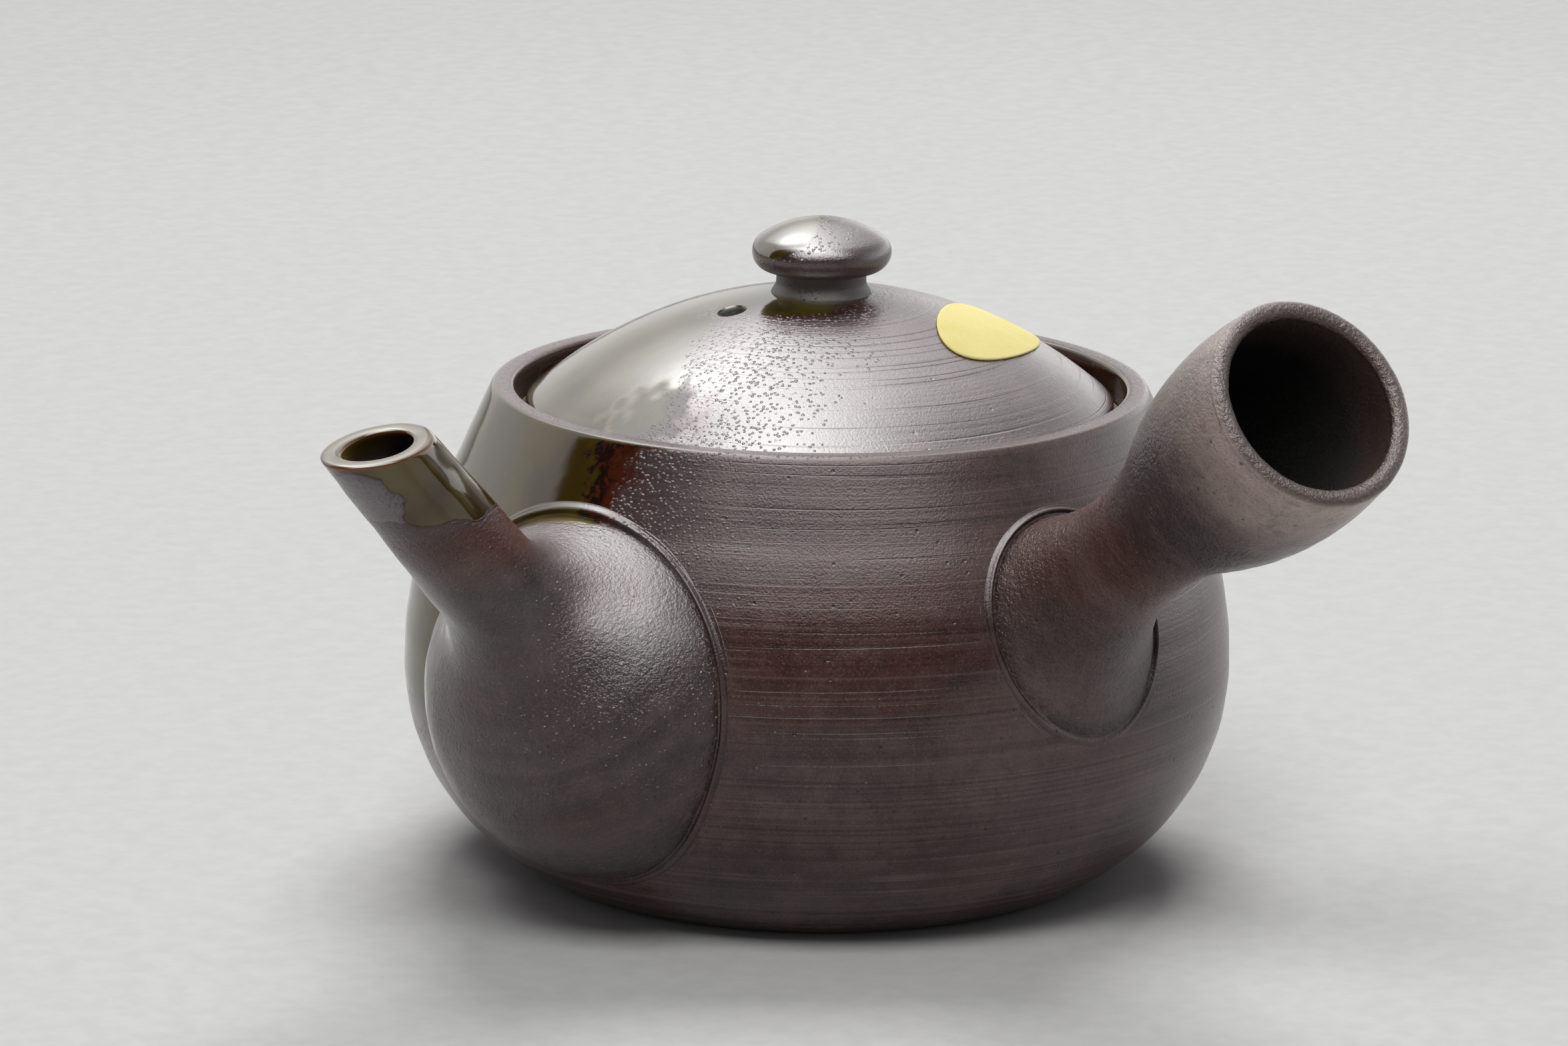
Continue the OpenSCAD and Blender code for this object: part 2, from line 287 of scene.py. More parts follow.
tent_turns = np.linspace(-180, 180, tent_columns)
tent_turn, tent_rise = np.meshgrid(tent_turns, np.linspace(tent_low, tent_high, tent_rows))
tent_points = seen_from_pot(tent_turn, tent_rise, tent_reach).reshape(-1, 3)
tent_corner = (np.arange(tent_rows - 1)[:, None] * tent_columns + np.arange(tent_columns - 1)).ravel()
tent_cells = tent_corner[:, None] + (0, 1, tent_columns + 1, tent_columns)
tent_mesh = bpy.data.meshes.new("studio_tent")
tent_mesh.from_pydata(tent_points.tolist(), [], tent_cells.tolist())
store(tent_mesh, "glow", tent_glow(tent_turn, tent_rise))
studio_tent = bpy.data.objects.new("studio_tent", tent_mesh)
scene.collection.objects.link(studio_tent)
studio_tent.visible_camera = False
studio_tent.visible_diffuse = False
studio_tent.visible_shadow = False
tent_look, tent_node, shade = surface("lit_cloth")
feed(tent_node, {"Emission Color": shade.stored("glow"), "Emission Strength": 1})
feed(tent_node, {"Base Color": (0, 0, 0, 1), "Specular IOR Level": 0})
tent_look.cycles.emission_sampling = "NONE"
tent_mesh.materials.append(tent_look)


# The pot's body, thrown on the wheel in iron-rich purple-brown stoneware and fired without glaze. Its rim
# has a ledge inside for the lid. Wood ash settled on the side towards the fire and melted to olive glass.
# From here on lengths are millimetres, and a mesh is written in metres when it is made.
belly_radius = 56.0
belly_height = 29.0
foot_radius = 36.5
foot_bevel = 0.6
foot_bevel_height = 0.25
rim_radius = 44.1
rim_height = 66.6
shoulder_arc = 54.5
wall = 3.2
floor_thickness = 4.2
lip_width = 2.9
gallery_depth = 4.6
ledge_width = 4.4
ledge_thickness = 2.4
body_edge = 0.42
pole_gap = 0.5
skin_depth = 1.5
spout_hole_radius = 16.0
spout_hole_height = 32.4
spout_hole_from = 28
spout_hole_to = 70
swell_size = 26.0
swell_depth = 0.10
throwing_pitch = 6.4
throwing_depth = 0.035
outline_step = 0.05
crease_angle = 38
flame_level = 0.8
flame_lift = 0.6
grains_at = 0.34
rust_at = 0.62
soot_at = 0.66
glass_at = 0.72

foot_step = belly_radius - foot_radius
belly_arc = (foot_step ** 2 + belly_height ** 2) / (2 * foot_step)
belly_centre = belly_radius - belly_arc
shoulder_centre = belly_radius - shoulder_arc
rim_rise = rim_height - belly_height
rim_run = rim_radius - shoulder_centre
cone_angle = math.atan2(rim_rise, rim_run) - math.acos(shoulder_arc / math.hypot(rim_rise, rim_run))
ledge_height = rim_height - gallery_depth
gallery_radius = rim_radius - lip_width
ledge_bore = gallery_radius - ledge_width
leftwards = seen_from_pot(-90, 0, 1.0)
flame = leftwards * flame_level + (0, 0, flame_lift)


def pot_radius(height, grow=0.0):
    """Radius of the pot's wall at a height: an arc below the belly, a flatter arc above it, then the cone
    that is tangent to the second arc. A wall grown outwards by a distance has both arcs larger by it."""
    fall = height - belly_height
    belly = belly_centre + np.sqrt(np.maximum((belly_arc + grow) ** 2 - fall ** 2, 0))
    shoulder = shoulder_centre + np.sqrt(np.maximum((shoulder_arc + grow) ** 2 - fall ** 2, 0))
    join_radius = shoulder_centre + (shoulder_arc + grow) * math.cos(cone_angle)
    join_rise = (shoulder_arc + grow) * math.sin(cone_angle)
    cone = join_radius - (fall - join_rise) * math.tan(cone_angle)
    return np.where(fall < 0, belly, np.where(fall < join_rise, shoulder, cone))


def softened(outline, edge, count):
    """Outline with its corners eased: even points along it, averaged under a bell of the edge's width, then
    spaced closer where the line bends. The two end points stay where they are."""
    crowding = 14
    window = np.ones(9) / 9
    outline = np.asarray(outline, float)
    along = np.concatenate([[0], np.cumsum(np.hypot(*np.diff(outline, axis=0).T))])
    even = np.linspace(0, along[-1], int(along[-1] / outline_step) + 1)
    line = np.stack([np.interp(even, along, outline[:, k]) for k in (0, 1)], axis=-1)
    reach = int(3 * edge / outline_step)
    weight = np.exp(-0.5 * (np.arange(-reach, reach + 1) * outline_step / edge) ** 2)
    weight /= weight.sum()
    before = 2 * line[0] - line[reach:0:-1]
    after = 2 * line[-1] - line[-2:-reach - 2:-1]
    padded = np.concatenate([before, line, after])
    soft = np.stack([np.convolve(padded[:, k], weight, "valid") for k in (0, 1)], axis=-1)
    heading = np.unwrap(np.arctan2(*np.gradient(soft, axis=0).T[::-1]))
    need = 1 + crowding * np.convolve(np.abs(np.gradient(heading, outline_step)), window, "same")
    rank = np.cumsum(need)
    spots = np.interp(np.linspace(rank[0], rank[-1], count), rank, np.arange(len(rank)))
    return np.stack([np.interp(spots, np.arange(len(soft)), soft[:, k]) for k in (0, 1)], axis=-1)


def uneven(points, size, seed):
    """Gentle unevenness from -1 to 1: the mean of 14 sine waves about as long as the size, whose directions
    and starts are drawn from a fixed seed."""
    count = 14
    swing = 2.2
    draw = np.random.default_rng(seed)
    waves = draw.normal(size=(count, 3)) * 2 * np.pi / (size * math.sqrt(3))
    starts = draw.uniform(0, 2 * np.pi, count)
    return np.clip(np.sin(points @ waves.T + starts).mean(axis=-1) * swing, -1, 1)


def round_turns(count):
    """Even turns once round, in radians, the first at nought."""
    return np.arange(count) * 2 * np.pi / count


def thrown(outline, columns):
    """Rings of a wheel-thrown form: each outline point, a radius and a height, goes once round the axis."""
    turn = round_turns(columns)
    radius, height = outline[:, :1], outline[:, 1:]
    return np.stack([radius * np.cos(turn), radius * np.sin(turn), height + 0 * turn], axis=-1)


def wall_dent(points):
    """How far the thrown wall lies off its true shape at some points, never outwards: slow swells and faint
    throwing rings, a sine of the height, which die away at the foot and the rim."""
    level = points[..., 2]
    swells = uneven(points, swell_size, 5) - 1
    throwing = np.sin(level * 2 * np.pi / throwing_pitch + 0.4 * swells) - 1
    dent = (swell_depth * swells + throwing_depth * throwing) * np.clip((level - 1) / 4, 0, 1)
    return dent * np.clip((rim_height - 2 - level) / 6, 0, 1)


def skin(name, rings, poles=None, loop=False):
    """Object with one quad between each four neighbours of a grid of closed rings. A pole at each end closes
    it with a fan of triangles, or loop joins the last ring to the first. All faces are turned over where the
    volume that they enclose comes out below nought."""
    rows, columns = rings.shape[:2]
    here = np.arange(rows * columns).reshape(rows, columns)
    beside = np.roll(here, -1, axis=1)
    quads = np.stack([here, beside, np.roll(beside, -1, axis=0), np.roll(here, -1, axis=0)], axis=-1)
    quads = quads[:rows if loop else rows - 1].reshape(-1, 4)
    points = rings.reshape(-1, 3)
    fans = np.empty((0, 3), int)
    if poles is not None:
        first = np.full(columns, rows * columns)
        below = np.stack([first, beside[0], here[0]], axis=-1)
        above = np.stack([here[-1], beside[-1], first + 1], axis=-1)
        fans = np.concatenate([below, above])
        points = np.concatenate([points, np.asarray(poles, float)])
    corners = np.concatenate([quads[:, :3], quads[:, [0, 2, 3]], fans])
    first, second, third = (points[corners[:, k]] for k in (0, 1, 2))
    if (first * np.cross(second, third)).sum() < 0:
        quads = quads[:, ::-1]
        fans = fans[:, ::-1]
    mesh = bpy.data.meshes.new(name)
    mesh.vertices.add(len(points))
    mesh.vertices.foreach_set("co", (points * 0.001).ravel())
    mesh.loops.add(quads.size + fans.size)
    mesh.loops.foreach_set("vertex_index", np.concatenate([quads.ravel(), fans.ravel()]))
    sizes = np.concatenate([np.full(len(quads), 4), np.full(len(fans), 3)])
    mesh.polygons.add(len(sizes))
    mesh.polygons.foreach_set("loop_start", np.cumsum(sizes) - sizes)
    mesh.polygons.foreach_set("use_smooth", np.ones(len(sizes), bool))
    mesh.update(calc_edges=True)
    mesh.validate()
    piece = bpy.data.objects.new(name, mesh)
    scene.collection.objects.link(piece)
    return piece


def bored(piece, cutter):
    """Cuts the cutter's shape out of a piece, keeps the cut's edges crisp, and clears the cutter away."""
    cut = piece.modifiers.new("bore", "BOOLEAN")
    cut.operation = "DIFFERENCE"
    cut.solver = "EXACT"
    cut.object = cutter
    graph = bpy.context.evaluated_depsgraph_get()
    cut_mesh = bpy.data.meshes.new_from_object(piece.evaluated_get(graph))
    piece.modifiers.clear()
    piece.data = cut_mesh
    cut_mesh.materials.clear()
    cut_mesh.polygons.foreach_set("use_smooth", np.ones(len(cut_mesh.polygons), bool))
    cut_mesh.set_sharp_from_angle(angle=math.radians(crease_angle))
    bpy.data.objects.remove(cutter)


def points_of(mesh):
    """Points of a mesh in millimetres."""
    flat = np.empty(len(mesh.vertices) * 3, np.float32)
    mesh.vertices.foreach_get("co", flat)
    return flat.reshape(-1, 3) * 1000.0


def normals_of(mesh):
    """Outward unit normals at the points of a mesh."""
    flat = np.empty(len(mesh.vertices) * 3, np.float32)
    mesh.vertex_normals.foreach_get("vector", flat)
    return flat.reshape(-1, 3)


def streaks(x, y, across, stretch, tight, detail, rough=0.5):
    """Noise drawn out along the turning lines. stretch and tight say how quickly it changes along and across
    them, in patches for each millimetre."""
    return (x * stretch).join(y * stretch, across * tight).noise(1.0, detail, rough)


def coated(colour, layers):
    """A colour under layers laid on in order, each of a share and a tone."""
    for share, layer in layers:
        colour = share.tint(colour, tone(*layer))
    return colour


def stoneware(name, light, dark, lines, depth, hide, stains=(), ash=None, trims=(), rust=0.95, gloss=0.4):
    """Unglazed stoneware: clouds of two clay tones, a red flush, fine turning lines, a leathery hide, specks
    and pits. lines gives the distance across the turning lines, and depth and hide are heights. Each stain
    is a mask, a tone and a share, laid on the bare clay, and each trim the same, laid over all. ash gives how
    far the ash went: first grains, then rust and black spots, whose share is rust, and last olive glass. A
    hollow, stored at the points, is painted dark and dull: painted shade in bores, wells, the steam hole and
    under the knob, and the lid's own dark scorch patch. gloss is the clay's specular level."""
    material, node, shade = surface(name)
    place = shade.node("ShaderNodeVectorMath", {"operation": "SCALE"}, {0: shade.metres(), 3: 1000.0})
    x, y, z = place.parts()
    across = lines(x, y, z)
    comb = streaks(x, y, across, 0.003, 1.5, 3.0, 0.7)
    bands = streaks(x, y, across, 0.006, 0.16, 2.0)
    scratch = streaks(x, y, across, 0.002, 0.5, 1.0)
    flush = streaks(x, y, across, 0.035, 0.09, 3.0, 0.6).fade(0.53, 0.64)
    shown = place.noise(26.0, 2.0).fade(0.40, 0.56)
    ridge = (1 - abs(scratch - 0.5).fade(0.0, 0.010)) * shown
    groove = (1 - abs(scratch - 0.45).fade(0.0, 0.016)) * (1 - shown * 0.6)
    cloud = place.noise(16.0, 4.0, 0.55).fade(0.36, 0.64)
    grain = place.noise(0.30, 3.0, 0.65)
    leather = place.noise(0.6, 3.0, 0.65)
    mottle = place.noise(3.2, 4.0, 0.65)
    spot, first_lot, second_lot = place.cells(1.9)
    pit = (1 - spot.fade(0.06, 0.17)) * first_lot.fade(0.76, 0.80)
    speck = (1 - spot.fade(0.03, 0.09)) * second_lot.fade(0.80, 0.84)

    turned = min(depth * 25, 1)
    colour = cloud.tint(tone(*dark), tone(*light))
    colour = coated(colour, [(flush * 0.5, (72, 40, 36))])
    colour = coated(colour, [(mask(x, y, z) * share, stain) for mask, stain, share in stains])
    colour = coated(colour, [
        # The paler turning bands are partly a painted sheen; the mottle with them is the clay's own tone.
        (bands.fade(0.46, 0.66) * 0.30 + mottle.fade(0.48, 0.72) * 0.25, (102, 84, 82)),
        (mottle.fade(0.50, 0.25) * 0.45, (38, 26, 26)),
        (comb.fade(0.50, 0.72) * 0.40 * turned, (112, 95, 92)),
        (comb.fade(0.50, 0.28) * 0.60 * turned, (32, 22, 22)),
        # Ridges painted paler are a painted highlight, and grooves painted near black are painted shade.
        (ridge * 0.25 * turned, (138, 120, 114)),
        (groove * 0.45 * turned, (26, 18, 18)),
        (grain.fade(0.52, 0.72) * 0.30, (120, 101, 97)),
        (grain.fade(0.48, 0.28) * 0.50, (30, 21, 21)),
        # Pits painted near black: painted shade in them.
        (pit * 0.75, (22, 15, 14)),
        (speck * 0.6, (150, 138, 128))])
    rough = 0.24 - bands.fade(0.3, 0.7) * 0.04 + (grain - 0.5) * 0.16 + (mottle - 0.5) * 0.10
    height = comb * depth + ridge * (depth * 0.3) - groove * (depth * 0.6)
    height = height + grain * 0.046 + leather * hide - pit * 0.06
    if ash is not None:
        drift = ash(x, y, z) + (place.noise(7.0, 4.0, 0.6) - 0.5) * 0.14
        drift = drift + (place.noise(1.5, 3.0, 0.6) - 0.5) * 0.10
        near = drift.fade(grains_at, rust_at)
        rusty = drift.fade(rust_at, soot_at) * rust
        sooty = drift.fade(soot_at, soot_at + 0.03) * place.noise(1.3, 3.0, 0.6).fade(0.42, 0.48) * rust
        glass = drift.fade(glass_at - 0.012, glass_at + 0.008)
        strewn = (x + (grain - 0.5) * 0.5).join(y + (leather - 0.5) * 0.6, z * 1.2)
        crumb_far, lot, _ = strewn.cells(0.6)
        crumb = (1 - crumb_far.fade(0.08, 0.44)) * (near * 0.95 - lot).fade(0.0, 0.08) * (1 - rusty)
        colour = coated(colour, [
            (near * 0.45, (58, 45, 48)),
            (crumb * 0.40, (128, 112, 106)),
            (rusty, (70, 28, 10)),
            (sooty * 0.95, (20, 10, 7))])
        melt = place.noise(9.0, 3.0).fade(0.35, 0.65).tint(tone(62, 48, 12), tone(84, 71, 25))
        colour = glass.tint(colour, melt)
        rough = rough - crumb * near * 0.14 - rusty * 0.06
        rough = rough * (1 - glass) + glass * 0.08
        height = height * (1 - near * 0.4) * (1 - rusty * 0.5) + crumb * 0.12
        height = height * (1 - glass * 0.96) + place.noise(6.0, 2.0) * glass * 0.05
    colour = coated(colour, [(mask(x, y, z) * share, trim) for mask, trim, share in trims])
    # Points stored as hollow are painted near black and dull: painted shade, and on the lid a scorch patch.
    hollow = x.stored("hollow")
    colour = coated(colour, [(hollow, (10, 7, 6))])
    rough = rough * (1 - hollow) + hollow * 0.75
    bump = shade.node("ShaderNodeBump", {}, {"Strength": 1.0, "Distance": 0.001, "Height": height})
    feed(node, {"Base Color": colour, "Roughness": rough, "Normal": bump})
    feed(node, {"IOR": 1.5, "Specular IOR Level": gloss})
    return material


def level_lines(x, y, z):
    """Lines turned on an upright wall: they lie across the height."""
    return z


def ring_lines(x, y, z):
    """Lines turned on a domed face: they lie across the distance from the axis, and a little the height."""
    return (x * x + y * y).root() + z * 0.6


def fire_ash(x, y, z):
    """Ash drift stored at the points."""
    return x.stored("fire")


def oval(x, y, z, spot, wide, high, soft):
    """1 in an upright oval about a spot, frayed by noise over a soft share of its size, and 0 beyond it."""
    aside = x - spot[0]
    ahead = y - spot[1]
    above = z - spot[2]
    far = ((aside * aside + ahead * ahead) * (1 / wide ** 2) + above * above * (1 / high ** 2)).root()
    ragged = far + (x.join(y, z * 2.5).noise(9.0, 4.0, 0.6) - 0.5) * 1.4 * soft
    return 1 - ragged.fade(1 - soft, 1 + soft)


def red_flush(x, y, z):
    """The place on the wall before the camera where the fire left the clay redder."""
    return oval(x, y, z, spot=(40.8, 34.6, 44.0), wide=17.0, high=11.0, soft=0.5)


def lip_painted_highlight(x, y, z):
    """The top of the lip, painted paler: a painted highlight."""
    return z.fade(rim_height - 0.8, rim_height - 0.2)


def sooty_gallery(x, y, z):
    """The upright wall inside the rim, where the ash left rust and soot."""
    return x.stored("gallery") * x.join(y, z).noise(5.0, 4.0, 0.6).fade(0.30, 0.48)


outer_height = np.linspace(foot_bevel_height, rim_height, 260)
inner_height = np.linspace(ledge_height - ledge_thickness, floor_thickness, 200)
outer_wall = np.stack([pot_radius(outer_height), outer_height], axis=-1)
inner_wall = np.stack([pot_radius(inner_height, -wall), inner_height], axis=-1)
lip = [(gallery_radius, rim_height), (gallery_radius, ledge_height), (ledge_bore, ledge_height)]
ledge = [(ledge_bore, ledge_height - ledge_thickness)]
base = [(pole_gap, 0.0), (foot_radius - foot_bevel, 0.0)]
body_line = np.concatenate([base, outer_wall, lip, ledge, inner_wall, [(pole_gap, floor_thickness)]])
body_line = softened(body_line, body_edge, 262)
body_line[:, 1] = np.maximum(body_line[:, 1], 0)
body_rings = thrown(body_line, 320)
spread = np.hypot(body_rings[..., 0], body_rings[..., 1])
body_rings[..., :2] *= (1 + wall_dent(body_rings) / spread)[..., None]
body_piece = skin("pot_body", body_rings, [(0, 0, 0), (0, 0, floor_thickness)])
hole_turn = round_turns(64)
hole_ring = np.stack([0 * hole_turn, np.cos(hole_turn), np.sin(hole_turn)], axis=-1) * spout_hole_radius
hole_ends = np.array([(end, 0, spout_hole_height) for end in (spout_hole_from, spout_hole_to)])
bored(body_piece, skin("spout_hole", hole_ring + hole_ends[:, None], hole_ends))
body_points = points_of(body_piece.data)
body_spread = np.hypot(body_points[:, 0], body_points[:, 1])
inside = (body_spread < pot_radius(body_points[:, 2]) - skin_depth) & (body_points[:, 2] < rim_height - 0.5)
in_gallery = inside & (body_points[:, 2] > ledge_height - 0.5)
store(body_piece.data, "fire", np.where(inside & ~in_gallery, 0.1, normals_of(body_piece.data) @ flame))
store(body_piece.data, "gallery", in_gallery)
# The lip's paler top in the stains below is a painted highlight; the red flush is the clay's own.
body_clay = stoneware(
    "body_clay", light=(86, 68, 66), dark=(62, 47, 47), lines=level_lines, depth=0.036, hide=0.02,
    stains=[(red_flush, (70, 37, 32), 0.7), (lip_painted_highlight, (112, 93, 87), 0.4)], ash=fire_ash,
    trims=[(sooty_gallery, (52, 26, 16), 0.9)])
body_piece.data.materials.append(body_clay)
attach(body_piece, "pot")
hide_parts("body")


# The strainer, a dome of the same clay pierced with fine holes and luted inside the wall behind the spout.
# Its solid already has the true shape and holes, so it stays and only takes the clay's finish.
strainer_clay = stoneware(
    "strainer_clay", light=(88, 76, 75), dark=(70, 59, 58), lines=level_lines, depth=0.02, hide=0.03)
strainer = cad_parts["strainer"]
strainer.data.materials.clear()
strainer.data.materials.append(strainer_clay)


# The spout, thrown as a round bulb with a tapered tube drawn out of it, cut to the pot's wall and luted on.
# Its tip was in the ash, and the glass ran down from the mouth to an uneven level edge.
bulb_radius = 25.1
bulb_middle = np.array([42.9, 0.0, 32.4])
bulb_wall = 3.0
tube_foot = np.array([42.9, 0.0, 26.8])
tube_rise = math.radians(44.5)
tube_line = np.array([math.cos(tube_rise), 0.0, math.sin(tube_rise)])
tube_side = np.array([0.0, 1.0, 0.0])
tube_top = np.cross(tube_line, tube_side)
tube_length = 66.9
tube_root_radius = 8.6
mouth_radius = 6.7
tube_wall = 2.5
mouth_tilt = math.radians(10.7)
mouth_up = np.array([math.sin(mouth_tilt), 0.0, math.cos(mouth_tilt)])
blend_width = 9.0
spout_span = (-14.0, 45.0)
outer_sink = 0.7
inner_sink = 0.9
widest_reach = 45.0
glass_edge = 63.6
flank_turn = -97


def around(first, second, turn):
    """Unit directions turned from the first side towards the second."""
    return np.cos(turn)[..., None] * first + np.sin(turn)[..., None] * second


def spout_reach(along, turn, inset_bulb, inset_tube):
    """Distance from the tube's axis to the spout's wall at a distance along it and a turn round it. The wall
    is where the smooth least of two distances, to the bulb and to the tapered tube, is nought. Halving the
    interval 34 times finds it."""
    spoke = around(tube_top, tube_side, turn)
    centre = tube_foot + along[..., None] * tube_line - bulb_middle
    slim = tube_root_radius - (tube_root_radius - mouth_radius) * along / tube_length - inset_tube
    low = np.zeros_like(along)
    high = np.full_like(along, widest_reach)
    for _ in range(34):
        middle = (low + high) / 2
        to_bulb = np.linalg.norm(centre + middle[..., None] * spoke, axis=-1) - bulb_radius + inset_bulb
        to_tube = middle - slim
        near = np.maximum(blend_width - np.abs(to_bulb - to_tube), 0) / blend_width
        inside = np.minimum(to_bulb, to_tube) - near ** 2 * blend_width / 4 < 0
        low = np.where(inside, middle, low)
        high = np.where(inside, high, middle)
    return (low + high) / 2


def spout_points(along, turn, inset_bulb=0.0, inset_tube=0.0):
    """Points of the spout's wall, at their reach from the tube's axis."""
    reach = spout_reach(along, turn, inset_bulb, inset_tube)
    return tube_foot + along[..., None] * tube_line + reach[..., None] * around(tube_top, tube_side, turn)


def spout_inner(along, turn):
    """Points of the spout's inner wall."""
    return spout_points(along, turn, bulb_wall, tube_wall)


def pot_depth(points):
    """How far points lie outside the pot's wall, measured level: below nought they are in the pot."""
    return np.hypot(points[..., 0], points[..., 1]) - pot_radius(points[..., 2])


def meets_pot(form, turn, span, sink):
    """Distance along a luted form's axis at which its wall is sunk into the pot by a depth, for each turn:
    the last of many even steps over a span that still lies that deep, then the straight line to the next."""
    steps = np.linspace(*span, 900)
    grid, spin = np.meshgrid(steps, turn, indexing="ij")
    depth = pot_depth(form(grid, spin)) + sink
    last = len(steps) - 1 - np.argmax((depth < 0)[::-1], axis=0)
    before = np.take_along_axis(depth, last[None], axis=0)[0]
    after = np.take_along_axis(depth, last[None] + 1, axis=0)[0]
    return steps[last] + (steps[1] - steps[0]) * before / (before - after)


def mouth_cut(inset):
    """Distance along the tube at which its wall, inset by some depth, reaches the mouth's slanted cut."""
    return tube_length - mouth_slope * (mouth_radius - inset)


def spaced(start, end, form, turn, count):
    """Rows of distances along a form from start to end, spaced evenly along its wall's mean outline."""
    share = np.linspace(0, 1, 500)[:, None]
    wall_points = form(start + (end - start) * share, turn + 0 * share)
    steps = np.linalg.norm(np.diff(wall_points, axis=0), axis=-1).mean(axis=1)
    rank = np.concatenate([[0], np.cumsum(steps)])
    even = np.interp(np.linspace(0, rank[-1], count), rank, share[:, 0])[:, None]
    return start + (end - start) * even


def with_lip(outer_wall, inner_wall, swing, lift):
    """Rings of an outer and an inner wall with a lip rolled over between them: each ring of the lip lies a
    swing from the middle of the two edges towards the outer one, and is carried on by a lift."""
    middle = (outer_wall[-1] + inner_wall[0]) / 2
    half = (outer_wall[-1] - inner_wall[0]) / 2
    lip_rings = middle + swing[:, None, None] * half + lift[:, None, :]
    return np.concatenate([outer_wall, lip_rings, inner_wall])


def pushed(rings, foot, line, push):
    """Rings whose points are moved away from an axis by a distance each."""
    spoke = rings - foot - ((rings - foot) @ line)[..., None] * line
    return rings + spoke / np.linalg.norm(spoke, axis=-1)[..., None] * push[..., None]


def store_rings(piece, name, columns, *runs):
    """Stores one number for each ring of so many columns, from runs of numbers end to end."""
    store(piece.data, name, np.repeat(np.concatenate(runs), columns))


def frayed(value, x, y, z, size, reach, detail=3.0, rough=0.5):
    """A value that wanders with noise of a size, over a reach."""
    return value + (x.join(y, z).noise(size, detail, rough) - 0.5) * reach


def to_left(x, y, z):
    """Distance from the pot's axis to the camera's left."""
    return x * float(leftwards[0]) + y * float(leftwards[1])


def tube_lines(x, y, z):
    """Lines drawn round the tube and bulb by the potter's fingers: they lie across the tube's axis."""
    return x * float(tube_line[0]) + z * float(tube_line[2])


def tip_ash(x, y, z):
    """Ash drift that grows upwards over the tip, later on its left, or that is stored for the flank towards
    the fire."""
    wander = (x.join(y, z).noise(6.0, 3.0) - 0.5) * 7
    edge = glass_edge + wander * 0.5 + 7.6 * (to_left(x, y, z) + wander).fade(51.0, 54.6)
    return ((z - edge) * 0.16 + glass_at).larger(x.stored("fire")).larger(0.42)


def milky_patch(x, y, z):
    """The lilac patch before the mouth where the ash stayed thin and dull, down to the glass's own level."""
    level = frayed(z, x, y, z, 4.0, 2.0)
    return level.fade(glass_edge - 0.5, glass_edge + 0.2) * to_left(x, y, z).fade(49.5, 52.5)


def drip_line(x, y, z):
    """The dark hairline along the lower edge of the lilac patch."""
    level = frayed(z, x, y, z, 4.0, 2.0)
    return (1 - abs(level - glass_edge + 0.3).fade(0.05, 0.35)) * to_left(x, y, z).fade(47.0, 50.0)


def rusty_crease(x, y, z):
    """The crease above the bulb where rust gathered."""
    return oval(x, y, z, spot=(73.0, 5.0, 61.0), wide=10.0, high=5.5, soft=0.6)


def seam_stain(x, y, z):
    """The clay in and beside the seam, dark and reddish where the slip was rubbed on."""
    return x.stored("seam") * x.join(y, z).noise(3.0, 3.0, 0.6).fade(0.22, 0.50)


def lip_edge(x, y, z):
    """The two rounded edges of the mouth's lip, where the glass drew thin and shows brown."""
    lip = x.stored("lip")
    return lip.fade(0.05, 0.25) * lip.fade(0.75, 0.45)


def lip_top(x, y, z):
    """The flat top of the mouth's lip."""
    return x.stored("lip").fade(0.5, 0.8)


spout_turn = round_turns(256)
spout_foot = meets_pot(spout_points, spout_turn, spout_span, outer_sink)
spout_well = meets_pot(spout_inner, spout_turn, spout_span, inner_sink)
mouth_slope = around(tube_top, tube_side, spout_turn) @ mouth_up / (tube_line @ mouth_up)
lip_round = tube_wall / 2
outer_rows = spaced(spout_foot, mouth_cut(0.0) - lip_round, spout_points, spout_turn, 150)
inner_rows = spaced(spout_well, mouth_cut(tube_wall) - lip_round, spout_inner, spout_turn, 70)[::-1]
outer_wall = spout_points(outer_rows, spout_turn + 0 * outer_rows)
inner_wall = spout_inner(inner_rows, spout_turn + 0 * inner_rows)
bend = np.linspace(0, np.pi, 20)[1:-1]
lip_swing = np.sign(np.cos(bend)) * np.abs(np.cos(bend)) ** 0.7
lip_lift = np.sin(bend)[:, None] ** 0.55 * lip_round * tube_line
spout_rings = with_lip(outer_wall, inner_wall, lip_swing, lip_lift)
spout_push = 0.12 * uneven(spout_rings, 13.0, 8) + 0.04 * uneven(spout_rings, 5.0, 9) - 0.1
spout_piece = skin("spout_body", pushed(spout_rings, tube_foot, tube_line, spout_push), None, True)
on_outer = np.zeros(len(outer_wall))
on_lip = np.sin(bend)
on_inner = np.zeros(len(inner_wall))
# The bore's wall is painted dark deeper in, stored as hollow: painted shade.
bore_depth = np.clip(np.linspace(0.3, 9, len(inner_wall)), 0, 1)
store_rings(spout_piece, "lip", len(spout_turn), on_outer, on_lip, on_inner)
store_rings(spout_piece, "hollow", len(spout_turn), on_outer, 0 * on_lip, bore_depth)
spout_spots = points_of(spout_piece.data)
seam_depth = pot_depth(spout_spots)
fire_flank = glass_at + (normals_of(spout_piece.data) @ seen_from_pot(flank_turn, 0, 1.0) - 0.95) * 1.6
puddle = eased(seam_depth, 4.5, 0.5) * eased(spout_spots[:, 2], 50, 54)
puddle = puddle * eased(spout_spots @ leftwards, 25, 31)
store(spout_piece.data, "seam", eased(seam_depth, 1.2, 0.1))
store(spout_piece.data, "fire", np.maximum(fire_flank, 0.42 + 0.36 * puddle))
